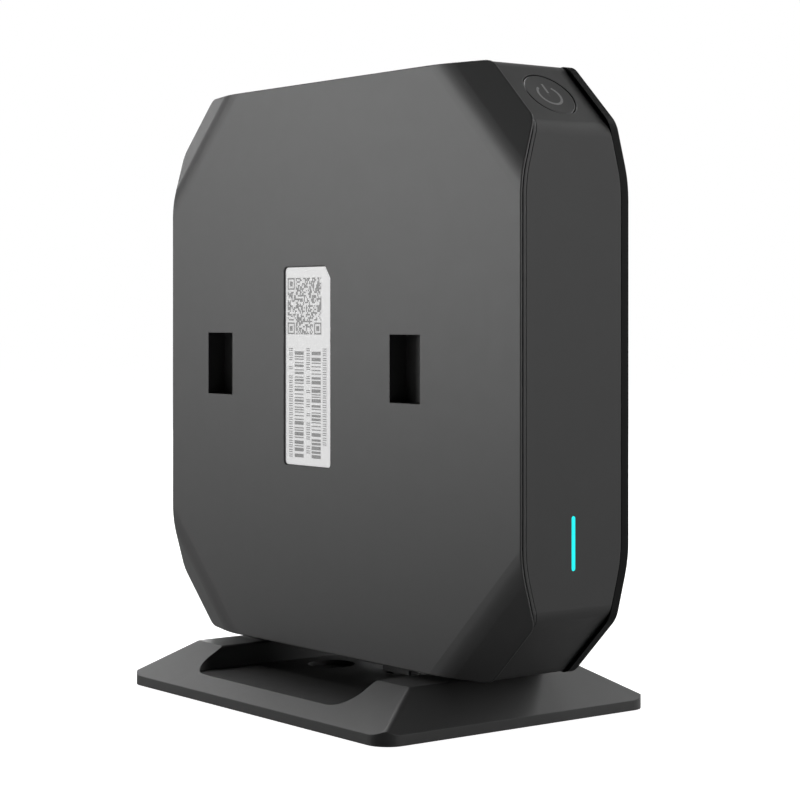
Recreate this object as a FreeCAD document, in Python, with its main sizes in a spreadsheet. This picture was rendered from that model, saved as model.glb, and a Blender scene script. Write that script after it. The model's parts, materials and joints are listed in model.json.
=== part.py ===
import FreeCAD, Part
import math
import os
import Sketcher

# A communication hub: an eight-sided plastic unit of two covers and a middle frame, on a desk stand that it
# lifts off. Millimetres. X runs along the covers towards the light bar, Y from the labelled cover to the front
# cover, Z up.
# The origin is at the centre of the stand's footprint, on the surface that it stands on.

DIMENSIONS = {
    # the unit's outline
    "body_half": 70.0,
    "centre_height": 82.3,
    "cover_corner": 89.1,
    "frame_corner": 88.1,
    "bend_radius": 4.5,
    "back_face": -16.5,
    "front_face": 16.5,
    # the corners folded back on both covers
    "fold_start": 79.55,
    "fold_slope": 0.398,
    "fold_radius": 15.0,
    # walls, lips and gaps
    "wall": 2.2,
    "cover_wall": 2.0,
    "front_wall": 2.4,
    "lip": 0.45,
    "rim_rounding": 0.25,
    "parting_gap": 0.3,
    "front_gap": 0.15,
    "seat_gap": 0.5,
    "bead_width": 0.85,
    "bead_groove": 0.15,
    "bead_depth": 0.2,
    # the labelled cover
    "slot_width": 11.2,
    "slot_height": 16.0,
    "slot_pitch": 76.7,
    "slot_centre": -8.5,
    "slot_depth": 5.2,
    "well_wall": 1.5,
    "label_width": 19.4,
    "label_height": 49.6,
    "label_centre": -8.7,
    "label_lift": -0.1,
    "label_recess": 0.6,
    "label_thickness": 0.12,
    "label_margin": 0.2,
    "label_cut": 3.0,
    "label_radius": 1.2,
    # clips and ribs that hold the covers
    "clip_width": 8.0,
    "clip_spread": 25.0,
    "clip_thickness": 1.4,
    "clip_reach": 3.4,
    "clip_barb": 0.8,
    "clip_hook": 1.2,
    "clip_root": 0.4,
    "rib_width": 1.2,
    "rib_depth": 1.4,
    "rib_length": 84.0,
    # the main board and its bosses
    "board_back": 6.0,
    "board_thickness": 1.6,
    "board_half": 64.5,
    "board_corner": 81.5,
    "boss_spread": 50.0,
    "boss_radius": 3.0,
    "board_hole_radius": 1.6,
    "screw_radius": 1.0,
    "screw_length": 6.0,
    "screw_head_radius": 2.4,
    "screw_head_height": 1.6,
    "recess_width": 0.5,
    "recess_length": 2.4,
    "recess_depth": 0.6,
    "pilot_radius": 1.05,
    # the round button on the upper corner
    "control_y": -0.7,
    "cap_radius": 6.65,
    "cap_gap": 0.25,
    "cap_dish": 0.15,
    "flange_radius": 7.7,
    "flange_thickness": 0.8,
    "flange_gap": 0.15,
    "stem_radius": 2.0,
    "stem_length": 1.75,
    "plunger_radius": 1.5,
    "plunger_length": 2.3,
    "switch_side": 6.0,
    "switch_depth": 3.5,
    "switch_gap": 1.4,
    "bracket_thickness": 0.6,
    "bracket_foot": 4.0,
    # the light bar
    "light_width": 1.06,
    "light_height": 12.2,
    "light_height_centre": 44.1,
    "light_leg": 2.5,
    "light_reach": 10.0,
    "light_gap": 0.05,
    "led_thickness": 0.6,
    # the parts on the board
    "fin_count": 7,
    "fin_thickness": 1.2,
    "fin_height": 7.2,
    "can_wall": 0.25,
    "capacitor_radius": 3.15,
    "capacitor_height": 7.7,
    # the antennas and their leads
    "antenna_thickness": 0.8,
    "antenna_gap": 0.2,
    "antenna_back": -9.0,
    "antenna_width": 8.0,
    "wifi_antenna_start": -30.0,
    "wifi_antenna_length": 42.0,
    "link_antenna_start": 20.0,
    "link_antenna_length": 30.0,
    "lead_radius": 0.6,
    "socket_radius": 1.3,
    "socket_height": 1.2,
    # the sockets and the reset hole on the far side
    "jack_depth": 21.3,
    "jack_width": 15.9,
    "jack_height": 13.3,
    "jack_face": -69.6,
    "jack_height_centre": 70.3,
    "jack_cavity_depth": 13.5,
    "jack_cavity_width": 11.9,
    "jack_cavity_height": 7.0,
    "latch_width": 6.2,
    "latch_height": 2.2,
    "contact_pitch": 1.02,
    "contact_length": 8.0,
    "contact_thickness": 0.7,
    "contact_width": 0.46,
    "power_width": 8.94,
    "power_height": 3.26,
    "power_depth": 7.35,
    "power_height_centre": 44.3,
    "power_shell": 0.3,
    "socket_gap": 0.25,
    "reset_height_centre": 94.3,
    "reset_hole_radius": 1.0,
    "reset_radius": 0.8,
    "reset_travel": 0.3,
    "reset_side": 3.5,
    "reset_block_height": 4.5,
    "reset_reach": 1.8,
    # the stand
    "stand_half_x": 52.65,
    "stand_half_y": 41.0,
    "stand_radius": 5.5,
    "plateau_half_x": 43.5,
    "plateau_half_y": 26.0,
    "hip_radius": 2.0,
    "plateau_height": 11.1,
    "rim_height": 2.85,
    "rim_bottom": 0.45,
    "stand_wall": 2.2,
    "pocket_half_x": 31.5,
    "pocket_half_y": 35.85,
    "pocket_radius": 6.0,
    "pocket_floor": 5.5,
    "pocket_floor_thickness": 1.9,
    "pocket_rounding": 0.7,
    "bore_spread": 20.4,
    "bore_radius": 2.2,
    "counterbore_radius": 6.0,
    "counterbore_depth": 1.2,
    "tongue_half": 5.5,
    "tongue_front": 4.8,
    "tongue_thickness": 3.2,
    "tongue_height": 11.3,
    "tongue_gap": 0.4,
    "rest_gap": 0.1,
    "floor_bottom": 0.9,
    "floor_thickness": 1.8,
    "floor_gap": 0.2,
    "floor_bevel": 1.6,
    "hollow_drop": 0.9,
    "hollow_inset": 0.7,
    "rest_rib_x": 37.5,
    "rest_rib_width": 6.0,
    "rest_rib_length": 18.0,
    "shut_off_half": 2.0,
    "shut_off_depth": 1.8,
    "stand_screw_x": 37.5,
    "stand_screw_y": 15.0,
    "stand_screw_length": 5.4,
    "stand_screw_head_height": 1.0,
    "stand_boss_radius": 2.6,
    "screw_seat": 1.2,
    "foot_seat": 0.3,
    "foot_radius": 4.5,
    "foot_x": 43.0,
    "foot_y": 31.0,
}

DIAGONAL = FreeCAD.Rotation(FreeCAD.Vector(0, 1, 0), 45)
TURNS = {
    "X": FreeCAD.Rotation(FreeCAD.Vector(0, 1, 0), 90),
    "Y": FreeCAD.Rotation(FreeCAD.Vector(1, 0, 0), -90),
    "Z": FreeCAD.Rotation(),
    "corner": DIAGONAL,
}
CORNERS = [(1, 1), (-1, 1), (-1, -1), (1, -1)]

# parts on the board: x and z from the unit's centre, width, height, and how far they stand off the board
BOARD_PARTS = {
    "processor_chip": (-8, 10, 17, 17, 1.2),
    "thermal_pad": (-8, 10, 16, 16, 0.8),
    "sink_plate": (-8, 10, 26, 40, 2.0),
    "memory_0": (12, 4, 11, 8, 1.0),
    "memory_1": (12, 16, 11, 8, 1.0),
    "wifi_shield_can": (36, 26, 20, 16, 2.6),
    "wifi_radio_chip": (36, 26, 7, 7, 0.9),
    "link_shield_can": (-30, 54, 24, 14, 2.6),
    "link_radio_chip": (-30, 54, 7, 7, 0.9),
    "network_transformer": (-39, -12, 11, 15, 5.5),
    "coil_0": (-49, -43, 6, 6, 3.0),
    "coil_1": (-40, -43, 6, 6, 3.0),
}
CAPACITOR_PLACES = [(-44, -32), (-35, -32)]

doc = FreeCAD.newDocument("CommunicationHub")


# ---------------------------------------------------------------- driving dimensions

class Size:
    """A length and the sheet expression that drives it."""

    def __init__(self, value, text):
        self.value = value
        self.text = text

    def __add__(self, other):
        other = as_size(other)
        return Size(self.value + other.value, f"({self.text} + {other.text})")

    def __sub__(self, other):
        other = as_size(other)
        return Size(self.value - other.value, f"({self.text} - {other.text})")

    def __mul__(self, other):
        other = as_size(other)
        return Size(self.value * other.value, f"({self.text} * {other.text})")

    def __truediv__(self, other):
        other = as_size(other)
        return Size(self.value / other.value, f"({self.text} / {other.text})")

    def __neg__(self):
        return Size(-self.value, f"(0 - {self.text})")

    __radd__ = __add__
    __rmul__ = __mul__


def as_size(number):
    """A plain number as a Size; a Size as it is."""
    if isinstance(number, Size):
        return number
    return Size(float(number), f"({float(number)})")


class Sheet:
    """The spreadsheet of driving dimensions, read as attributes."""

    def __init__(self, values):
        self.cells = doc.addObject("Spreadsheet::Sheet", "Dimensions")
        self.values = values
        for row, (alias, value) in enumerate(values.items(), start=1):
            self.cells.set(f"A{row}", alias)
            self.cells.set(f"B{row}", str(value))
            self.cells.setAlias(f"B{row}", alias)
        doc.recompute()

    def __getattr__(self, alias):
        return Size(self.values[alias], f"Dimensions.{alias}")


d = Sheet(DIMENSIONS)
root_two = Size(math.sqrt(2), "sqrt(2)")

frame_back = d.back_face + d.lip + d.parting_gap
frame_front = d.front_face - d.front_wall - d.front_gap
inner_half = d.body_half - d.wall
inner_corner = d.frame_corner - d.wall
board_front = d.board_back + d.board_thickness
front_inside = d.front_face - d.front_wall
unit_bottom = d.centre_height - d.body_half


# ---------------------------------------------------------------- tools of the trade

def drive(item, name, size):
    """Binds one property of an item to the sheet."""
    item.setExpression(name, as_size(size).text)


def place(item, x, y, z, turn=FreeCAD.Rotation()):
    """Puts an item at a driven position."""
    sizes = [as_size(x), as_size(y), as_size(z)]
    item.Placement = FreeCAD.Placement(FreeCAD.Vector(*[size.value for size in sizes]), turn)
    for axis, size in zip("xyz", sizes):
        drive(item, f".Placement.Base.{axis}", size)


def new_body(label, x=0, y=0, z=0, turn=FreeCAD.Rotation()):
    """An empty PartDesign body at a driven position."""
    body = doc.addObject("PartDesign::Body", label)
    body.Label = label
    place(body, x, y, z, turn)
    return body


def origin_part(body, role):
    """One of the body's own origin planes or axes."""
    return next(item for item in body.Origin.OriginFeatures if item.Role == role)


def new_sketch(body, plane, start, turn=FreeCAD.Rotation()):
    """A sketch on an origin plane, moved along the plane's axis to start."""
    sketch = body.newObject("Sketcher::SketchObject", "Sketch")
    sketch.AttachmentSupport = (origin_part(body, plane), [""])
    sketch.MapMode = "FlatFace"
    offset = -as_size(start) if plane == "XZ_Plane" else as_size(start)
    sketch.AttachmentOffset = FreeCAD.Placement(FreeCAD.Vector(0, 0, offset.value), turn)
    drive(sketch, ".AttachmentOffset.Base.z", offset)
    return sketch


def pin(sketch, geometry, point, x, y):
    """Holds one sketch point at driven distances from the sketch's origin."""
    for kind, size in (("DistanceX", as_size(x)), ("DistanceY", as_size(y))):
        index = sketch.addConstraint(Sketcher.Constraint(kind, -1, 1, geometry, point, size.value))
        drive(sketch, f"Constraints[{index}]", size)


def add_polygon(sketch, points):
    """Adds a closed outline of straight lines through driven points."""
    points = [(as_size(x), as_size(y)) for x, y in points]
    vectors = [FreeCAD.Vector(x.value, y.value, 0) for x, y in points]
    count = len(points)
    first = sketch.GeometryCount
    for index in range(count):
        sketch.addGeometry(Part.LineSegment(vectors[index], vectors[(index + 1) % count]), False)
    for index in range(count):
        following = first + (index + 1) % count
        sketch.addConstraint(Sketcher.Constraint("Coincident", first + index, 2, following, 1))
    for index, (x, y) in enumerate(points):
        pin(sketch, first + index, 1, x, y)


def add_circle(sketch, x, y, radius):
    """Adds a circle with a driven centre and radius."""
    x, y, radius = as_size(x), as_size(y), as_size(radius)
    centre = FreeCAD.Vector(x.value, y.value, 0)
    circle = sketch.addGeometry(Part.Circle(centre, FreeCAD.Vector(0, 0, 1), radius.value), False)
    pin(sketch, circle, 3, x, y)
    index = sketch.addConstraint(Sketcher.Constraint("Radius", circle, radius.value))
    drive(sketch, f"Constraints[{index}]", radius)


def rectangle(x, y, width, height):
    """The corners of a rectangle about a centre."""
    x, y, width, height = as_size(x), as_size(y), as_size(width), as_size(height)
    return [(x + width * (0.5 * i), y + height * (0.5 * j)) for i, j in CORNERS]


def octagon(half, corner):
    """A square of a half width, cut off at a distance from its centre along each diagonal."""
    short = corner * root_two - half
    return [
        (half, short), (short, half), (-short, half), (-half, short),
        (-half, -short), (-short, -half), (short, -half), (half, -short),
    ]


def pad(body, sketch, length, back=False):
    """Adds material over a sketch, in its plane's positive direction."""
    feature = body.newObject("PartDesign::Pad", "Pad")
    feature.Profile = sketch
    drive(feature, "Length", length)
    feature.Reversed = back
    sketch.Visibility = False
    return feature


def pocket(body, sketch, length, forward=True, both_ways=False):
    """Cuts a sketch out of the body, and makes sure that it did cut."""
    doc.recompute()
    before = body.Shape.Volume
    feature = body.newObject("PartDesign::Pocket", "Pocket")
    feature.Profile = sketch
    drive(feature, "Length", length)
    feature.Reversed = forward
    feature.Midplane = both_ways
    doc.recompute()
    if body.Shape.Volume > before - 1e-6:
        raise RuntimeError(f"{body.Label}: a pocket removes nothing")
    return feature


def prism(label, plane, start, length, outlines, at=(0, 0, 0), turn=FreeCAD.Rotation()):
    """A body padded from closed outlines, from start along the plane's axis."""
    body = new_body(label, *at, turn)
    sketch = new_sketch(body, plane, start)
    for outline in outlines:
        add_polygon(sketch, outline)
    pad(body, sketch, length, back=(plane == "XZ_Plane"))
    return body


def turned(label, profile, at=(0, 0, 0), turn=FreeCAD.Rotation()):
    """A body of revolution about its own Z, from (radius, height) points."""
    body = new_body(label, *at, turn)
    sketch = new_sketch(body, "XZ_Plane", 0)
    add_polygon(sketch, profile)
    feature = body.newObject("PartDesign::Revolution", "Revolution")
    feature.Profile = sketch
    feature.ReferenceAxis = (sketch, ["V_Axis"])
    feature.Angle = 360
    return body


def dress_edges(body, kind, dimension, size, wanted):
    """Dresses the body's edges that the test wants with a PartDesign feature."""
    doc.recompute()
    base = body.Tip
    names = [f"Edge{i}" for i, edge in enumerate(base.Shape.Edges, start=1) if wanted(edge)]
    feature = body.newObject("PartDesign::" + kind, kind)
    feature.Base = (base, names)
    drive(feature, dimension, size)
    body.Tip = feature
    doc.recompute()
    if not names or "Invalid" in feature.State:
        raise RuntimeError(f"{body.Label}: {kind} failed on {len(names)} edges")


def round_edges(body, radius, wanted):
    """Fillets the body's edges that the test wants."""
    dress_edges(body, "Fillet", "Radius", radius, wanted)


def bevel_edges(body, size, wanted):
    """Chamfers the body's edges that the test wants."""
    dress_edges(body, "Chamfer", "Size", size, wanted)


def box(label, low, sides):
    """A Part box from its lowest corner and its sides."""
    item = doc.addObject("Part::Box", label)
    item.Label = label
    for name, size in zip(("Length", "Width", "Height"), sides):
        drive(item, name, size)
    place(item, *low)
    return item


def centred_box(label, centre, sides):
    """A Part box about its centre."""
    centre = [as_size(value) for value in centre]
    sides = [as_size(value) for value in sides]
    return box(label, [c - s * 0.5 for c, s in zip(centre, sides)], sides)


def cylinder(label, start, direction, radius, length):
    """A Part cylinder from the centre of its first end."""
    item = doc.addObject("Part::Cylinder", label)
    item.Label = label
    drive(item, "Radius", radius)
    drive(item, "Height", length)
    place(item, *start, TURNS[direction])
    return item


def fuse(label, *pieces):
    """Joins pieces into one solid."""
    item = doc.addObject("Part::MultiFuse", label)
    item.Label = label
    item.Shapes = list(pieces)
    item.Refine = True
    return item


def cut(label, base, *tools):
    """Takes tools away from a base."""
    tool = tools[0] if len(tools) == 1 else fuse(label + "_tools", *tools)
    item = doc.addObject("Part::Cut", label)
    item.Label = label
    item.Base = base
    item.Tool = tool
    item.Refine = True
    return item


def group(label, pieces):
    """Keeps separate solids together in one node."""
    item = doc.addObject("Part::Compound", label)
    item.Label = label
    item.Links = list(pieces)
    return item


def is_along(edge, axis):
    """Whether an edge is straight and parallel to an axis."""
    if not isinstance(edge.Curve, Part.Line):
        return False
    return abs(abs(edge.Curve.Direction.dot(axis)) - 1) < 1e-6


# ---------------------------------------------------------------- the unit's outer shapes

def fold_back(body, level, reach, inward):
    """Folds the four corners of one end of a prism back, from fold_start outwards."""
    drop = d.fold_slope * (reach - d.fold_start) * inward
    outside = level - 0.5 * inward
    sketch = new_sketch(body, "YZ_Plane", 0, FreeCAD.Rotation(FreeCAD.Vector(1, 0, 0), 45))
    start_slope = d.fold_slope * 0.5
    add_polygon(sketch, [(level, d.fold_start), (outside, d.fold_start - start_slope),
                         (outside, reach), (level + drop, reach)])
    corner_cut = pocket(body, sketch, 400, both_ways=True)
    pattern = body.newObject("PartDesign::PolarPattern", "Corners")
    pattern.Originals = [corner_cut]
    pattern.Axis = (origin_part(body, "Y_Axis"), [""])
    pattern.Angle = 360
    pattern.Occurrences = 4
    body.Tip = pattern
    doc.recompute()

    def is_crease(edge):
        middle = edge.valueAt((edge.FirstParameter + edge.LastParameter) / 2)
        distance = (abs(middle.x) + abs(middle.z)) / math.sqrt(2)
        return abs(middle.y - level.value) < 1e-4 and abs(distance - d.fold_start.value) < 1e-3

    round_edges(body, d.fold_radius, is_crease)


def faceted_prism(label, half, corner, low, high, folded_low=False, folded_high=False):
    """An eight-sided prism along Y with rounded bends, folded back at its corners at either end."""
    body = prism(label, "XZ_Plane", low, high - low, [octagon(half, corner)], at=(0, 0, d.centre_height))
    round_edges(body, d.bend_radius, lambda edge: is_along(edge, FreeCAD.Vector(0, 1, 0)))
    reach = corner + 4
    if folded_low:
        fold_back(body, low, reach, 1)
    if folded_high:
        fold_back(body, high, reach, -1)
    return body


def round_rim(body, outward):
    """Rounds the rim where a prism's folded end meets its sides."""
    doc.recompute()
    shape = body.Tip.Shape

    def steepness(face, point):
        u, v = face.Surface.parameter(point)
        return face.normalAt(u, v).y * outward

    def is_rim(edge):
        middle = edge.valueAt((edge.FirstParameter + edge.LastParameter) / 2)
        faces = [face for face in shape.Faces if any(edge.isSame(other) for other in face.Edges)]
        slopes = sorted(steepness(face, middle) for face in faces)
        return len(slopes) == 2 and slopes[1] > 0.8 and abs(slopes[0]) < 0.3

    round_edges(body, d.rim_rounding, is_rim)


def folded_plate(label, half, corner, face, thickness, inward, rounded=False):
    """A plate of even thickness that follows a folded face; inward is +1 on the back and -1 on the front."""
    depth = thickness + d.fold_slope * (corner - d.fold_start) + 3
    inside = face + thickness * inward
    far = face + depth * inward
    beyond = far + 2 * inward
    ends = [(face, far), (inside, beyond)]
    if inward < 0:
        ends = [(high, low) for low, high in ends]
    outer = faceted_prism(label + "_outer", half, corner, *ends[0], inward > 0, inward < 0)
    if rounded:
        round_rim(outer, -inward)
    inner = faceted_prism(label + "_inner", half + 2, corner + 2, *ends[1], inward > 0, inward < 0)
    return cut(label, outer, inner)


def side_bars(label, outer_half, width, low, high):
    """Four straight bars along the inside of the unit's flat sides."""
    bars = []
    middle = outer_half - width * 0.5
    for index, (x, z) in enumerate([(1, 0), (-1, 0), (0, 1), (0, -1)]):
        sides = (width, high - low, d.rib_length) if x else (d.rib_length, high - low, width)
        centre = (middle * x, (low + high) * 0.5, d.centre_height + middle * z)
        bars.append(centred_box(f"{label}_{index}", centre, sides))
    return bars


def clip_ring(label, root_level, inward):
    """Eight snap clips that reach in from a cover and hook behind the frame's rib."""
    rib_half = inner_half - d.rib_width
    outer = rib_half - 0.2
    inner = outer - d.clip_thickness
    end = root_level + d.clip_reach * inward
    barb_root = end - d.clip_hook * inward
    root = root_level - d.clip_root * inward
    profile = [(inner, root), (outer, root), (outer, barb_root),
               (outer + d.clip_barb, barb_root), (outer, end), (inner, end)]
    clips = []
    for side in range(4):
        turn = FreeCAD.Rotation(FreeCAD.Vector(0, 1, 0), 90 * side)
        for index, spread in enumerate((-1, 1)):
            start = d.clip_spread * spread - d.clip_width * 0.5
            clips.append(prism(f"{label}_{side}_{index}", "XY_Plane", start, d.clip_width, [profile],
                               at=(0, 0, d.centre_height), turn=turn))
    return clips


# ---------------------------------------------------------------- the covers, the frame and the label

def label_outline(inset):
    """The label's outline, with its upper +X corner cut off."""
    x, z = d.label_centre, d.label_lift
    right = x + d.label_width * 0.5 - inset
    left = x - d.label_width * 0.5 + inset
    top = z + d.label_height * 0.5 - inset
    bottom = z - d.label_height * 0.5 + inset
    return [(left, bottom), (right, bottom), (right, top - d.label_cut), (right - d.label_cut * 0.7, top),
            (left, top)]


def label_shape(label, inset, low, thickness):
    """A thin plate of the label's outline."""
    outline = label_outline(as_size(inset))
    body = prism(label, "XZ_Plane", low, thickness, [outline], at=(0, 0, d.centre_height))
    round_edges(body, d.label_radius - inset, lambda edge: is_along(edge, FreeCAD.Vector(0, 1, 0)))
    return body


def make_rear_cover():
    """The labelled cover: a folded plate with two wells, a label recess and clips."""
    skin = folded_plate("rear_skin", d.body_half, d.cover_corner, d.back_face, d.lip, 1, rounded=True)
    seat_half = inner_half - d.seat_gap
    seat_corner = inner_corner - d.seat_gap
    seat = folded_plate("rear_seat", seat_half, seat_corner, d.back_face + 0.2, d.cover_wall - 0.2, 1)
    wells = []
    slots = []
    for index, side in enumerate((-1, 1)):
        x = d.slot_centre + d.slot_pitch * (0.5 * side)
        well_sides = (d.slot_width + d.well_wall * 2, d.slot_depth, d.slot_height + d.well_wall * 2)
        well_centre = (x, d.back_face + d.slot_depth * 0.5 + d.well_wall, d.centre_height)
        wells.append(centred_box(f"well_{index}", well_centre, well_sides))
        slot_sides = (d.slot_width, d.slot_depth * 2, d.slot_height)
        slots.append(centred_box(f"slot_{index}", (x, d.back_face, d.centre_height), slot_sides))
    clips = clip_ring("rear_clip", d.back_face + d.cover_wall, 1)
    recess = label_shape("label_recess", 0, d.back_face - 0.5, d.label_recess + 0.5)
    solid = fuse("rear_solid", skin, seat, *wells, *clips)
    return cut("rear_cover", solid, *slots, recess)


def make_front_cover():
    """The front cover: a thick folded plate with board bosses and clips."""
    plate = folded_plate("front_plate", d.body_half, d.cover_corner, d.front_face, d.front_wall, -1,
                         rounded=True)
    bosses = []
    pilots = []
    for index, (i, j) in enumerate(CORNERS):
        start = (d.boss_spread * i, board_front, d.centre_height + d.boss_spread * j)
        bosses.append(cylinder(f"boss_{index}", start, "Y", d.boss_radius, front_inside - board_front + 0.6))
        pilots.append(cylinder(f"pilot_{index}", start, "Y", d.pilot_radius, d.screw_length - 0.8))
    clips = clip_ring("front_clip", front_inside, -1)
    return cut("front_cover", fuse("front_solid", plate, *bosses, *clips), *pilots)


def make_middle_frame():
    """The band between the covers, with its bead, ribs, guide tube and openings."""
    outer = faceted_prism("frame_outer", d.body_half, d.frame_corner, frame_back, frame_front, True, True)
    round_rim(outer, -1)
    inner = faceted_prism("frame_inner", inner_half, inner_corner, d.back_face - 2, d.front_face + 2)
    shell = cut("frame_shell", outer, inner)
    rib_back = d.back_face + d.cover_wall + 0.3
    ribs = side_bars("back_rib", inner_half + 0.3, d.rib_width + 0.3, rib_back, rib_back + d.rib_depth)
    rib_front = front_inside - 0.3
    ribs += side_bars("front_rib", inner_half + 0.3, d.rib_width + 0.3, rib_front - d.rib_depth, rib_front)
    tube_start = inner_corner - 2.5
    tube = cylinder("guide_tube", corner_point(tube_start), "corner", d.flange_radius + 1.5, 3.0)
    tube_bore = cylinder("guide_bore", corner_point(tube_start - 1), "corner", d.flange_radius + 0.2, 3.5)
    hole = cylinder("button_hole", corner_point(tube_start), "corner", d.cap_radius + d.cap_gap, 8)
    groove_level = frame_back + d.bead_width
    ring = folded_plate("groove_ring", d.body_half + 1, d.frame_corner + 1, groove_level, d.bead_groove, 1)
    core = faceted_prism("groove_core", d.body_half - d.bead_depth, d.frame_corner - d.bead_depth,
                         d.back_face - 2, d.front_face + 2)
    groove = cut("bead_line", ring, core)
    solid = fuse("frame_solid", shell, *ribs, cut("guide", tube, tube_bore))
    openings = [hole, light_blade("light_window", d.light_gap, 4), reset_hole(), tongue_hole(),
                jack_hole(), power_shell("power_hole", d.socket_gap, 4), groove]
    return cut("middle_frame", solid, *openings)


def corner_point(distance):
    """A point on the button's axis, at a distance from the unit's centre."""
    along = as_size(distance) / root_two
    return (along, d.control_y, d.centre_height + along)


def jack_hole():
    """The frame's opening for the network jack."""
    sides = (d.wall * 3, d.jack_height + d.socket_gap * 2, d.jack_width + d.socket_gap * 2)
    centre = (-d.body_half, d.board_back - d.jack_height * 0.5, d.jack_height_centre)
    return centred_box("jack_hole", centre, sides)


def reset_hole():
    """The pin hole in front of the reset plunger."""
    start = (-d.body_half - 1, d.board_back - d.reset_side * 0.5, d.reset_height_centre)
    return cylinder("reset_hole", start, "X", d.reset_hole_radius, d.wall + 2)


def tongue_hole():
    """The slot in the unit's underside for the stand's tongue."""
    low = (-d.tongue_half - d.tongue_gap, d.tongue_front - d.tongue_gap, unit_bottom - 1)
    sides = ((d.tongue_half + d.tongue_gap) * 2, d.tongue_thickness + d.tongue_gap * 2, d.wall + 2)
    return box("tongue_hole", low, sides)


def make_device_label():
    """The thin label in its recess."""
    floor = d.back_face + d.label_recess
    return label_shape("device_label", d.label_margin, floor - d.label_thickness, d.label_thickness)


# ---------------------------------------------------------------- light bar

def light_blade(label, gap, outside=0):
    """A blade with round ends that runs through the frame's +X wall."""
    radius = d.light_width * 0.5 + gap
    straight = d.light_height - d.light_width
    start = d.body_half - d.light_reach
    length = d.light_reach + outside
    low = (start, d.control_y - radius, d.light_height_centre - straight * 0.5)
    pieces = [box(label + "_flat", low, (length, radius * 2, straight))]
    for end in (-0.5, 0.5):
        at = (start, d.control_y, d.light_height_centre + straight * end)
        name = label + ("_low" if end < 0 else "_high")
        pieces.append(cylinder(name, at, "X", radius, length))
    return fuse(label, *pieces)


def make_light_guide():
    """The light guide: the blade, and a leg that turns the LEDs' light towards it."""
    inner = d.body_half - d.light_reach
    front = d.board_back - d.led_thickness - 0.2
    back = d.control_y - d.light_width * 0.5
    bevel = d.light_leg * 0.6
    outer = inner + d.light_leg
    profile = [(inner + bevel, back), (outer, back), (outer, front), (inner, front), (inner, back + bevel)]
    low = d.light_height_centre - d.light_height * 0.5
    leg = prism("light_leg", "XY_Plane", low, d.light_height, [profile])
    notch_side = 1 + bevel * 0.5
    notch = box("light_notch", (inner - 1, back - 1, low - 1), (notch_side, notch_side, d.light_height + 2))
    return fuse("light_guide", cut("light_blade_end", light_blade("light_blade", 0), notch), leg)


def make_light_gasket():
    """The foam sleeve that keeps the LEDs' light inside the guide."""
    inner = d.body_half - d.light_reach
    centre = (inner + d.light_leg * 0.5, d.board_back - 2.4, d.light_height_centre)
    outside = centred_box("gasket_outside", centre, (d.light_leg + 2.4, 2.0, d.light_height + 2.4))
    inside = centred_box("gasket_inside", centre, (d.light_leg + 0.1, 4.0, d.light_height + 0.1))
    return cut("light_gasket", outside, inside)


def make_status_leds():
    """Three LEDs under the guide's leg."""
    x = d.body_half - d.light_reach + d.light_leg * 0.5
    leds = []
    for index, step in enumerate((-4, 0, 4)):
        centre = (x, d.board_back - d.led_thickness * 0.5, d.light_height_centre + step)
        leds.append(centred_box(f"led_{index}", centre, (0.8, d.led_thickness, 1.6)))
    return group("status_leds", leds)


# ---------------------------------------------------------------- main board and what is on it

def make_main_board():
    """The main circuit board with its four screw holes."""
    body = prism("main_board", "XZ_Plane", d.board_back, d.board_thickness,
                 [octagon(d.board_half, d.board_corner)], at=(0, 0, d.centre_height))
    sketch = new_sketch(body, "XZ_Plane", d.board_back - 1)
    for i, j in CORNERS:
        add_circle(sketch, d.boss_spread * i, d.boss_spread * j, d.board_hole_radius)
    pocket(body, sketch, d.board_thickness + 2, forward=False)
    return body


def cross_recess(name, centre, along):
    """Two crossed bars that sink into a screw's head, along one of the three axes."""
    bars = []
    for index, across in enumerate(axis for axis in range(3) if axis != along):
        sides = [d.recess_width] * 3
        sides[along] = d.recess_depth * 2
        sides[across] = d.recess_length
        bars.append(centred_box(f"{name}_bar_{index}", centre, sides))
    return bars


def screw(name, seat, axis, head_height, length):
    """A screw whose shank runs along the axis from its seat, with its head behind the seat."""
    along = "XYZ".index(axis)
    top = [as_size(value) for value in seat]
    top[along] = top[along] - head_height
    head = cylinder(name + "_head", top, axis, d.screw_head_radius, head_height)
    shank = cylinder(name + "_shank", seat, axis, d.screw_radius, length)
    return cut(name, fuse(name + "_blank", head, shank), *cross_recess(name, top, along))


def make_board_screws():
    """The four screws that hold the board to the front cover's bosses."""
    screws = []
    for index, (i, j) in enumerate(CORNERS):
        seat = (d.boss_spread * i, d.board_back, d.centre_height + d.boss_spread * j)
        screws.append(screw(f"board_screw_{index}", seat, "Y", d.screw_head_height, d.screw_length))
    return group("board_screws", screws)


def on_board(label, lift=0):
    """A block from the table of board parts, on the board's back side or lifted off it."""
    x, z, width, height, tall = BOARD_PARTS[label]
    centre = (x, d.board_back - lift - tall * 0.5, d.centre_height + z)
    return centred_box(label, centre, (width, tall, height))


def make_chips():
    """The processor, the two memory chips beside it, and the two radios."""
    memory = group("memory_chips", [on_board("memory_0"), on_board("memory_1")])
    return [on_board("processor_chip"), memory, on_board("wifi_radio_chip"), on_board("link_radio_chip")]


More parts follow.
